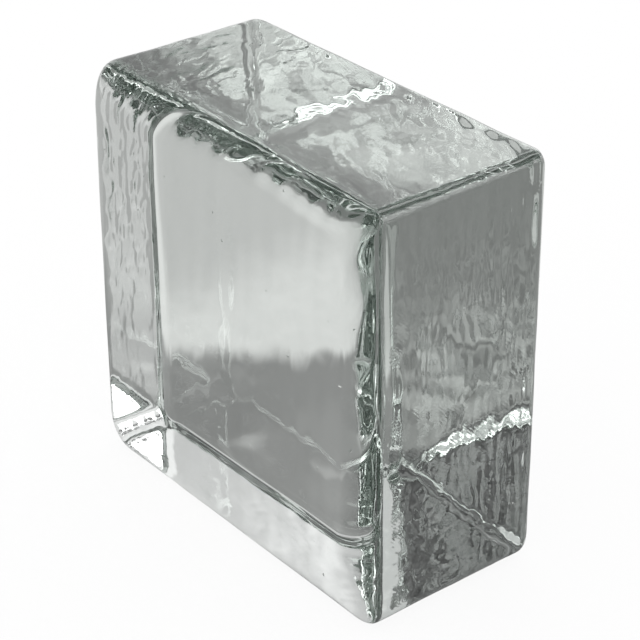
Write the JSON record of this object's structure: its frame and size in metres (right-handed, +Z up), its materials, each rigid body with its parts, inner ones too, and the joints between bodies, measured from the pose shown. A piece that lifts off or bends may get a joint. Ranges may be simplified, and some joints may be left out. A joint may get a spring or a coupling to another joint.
{
  "type": "solid glass block",
  "caption": "Solid square block of clear cast glass, with a rolled rim on its poured face, rippled narrow faces and rounded edges.",
  "frame": {"origin": "middle of the narrow face that the block stands on", "axes": "+Z up, +X across the square face, +Y from the poured face, with its rolled rim, to the mould-floor face"},
  "size_m": [0.19, 0.09, 0.19],
  "materials": {
    "clear_glass": "clear cast glass with a faint grey-green tint, smooth on the large faces and rippled on the narrow ones"
  },
  "bodies": {
    "root": {"glass_block": "clear_glass"}
  },
  "joints": []
}
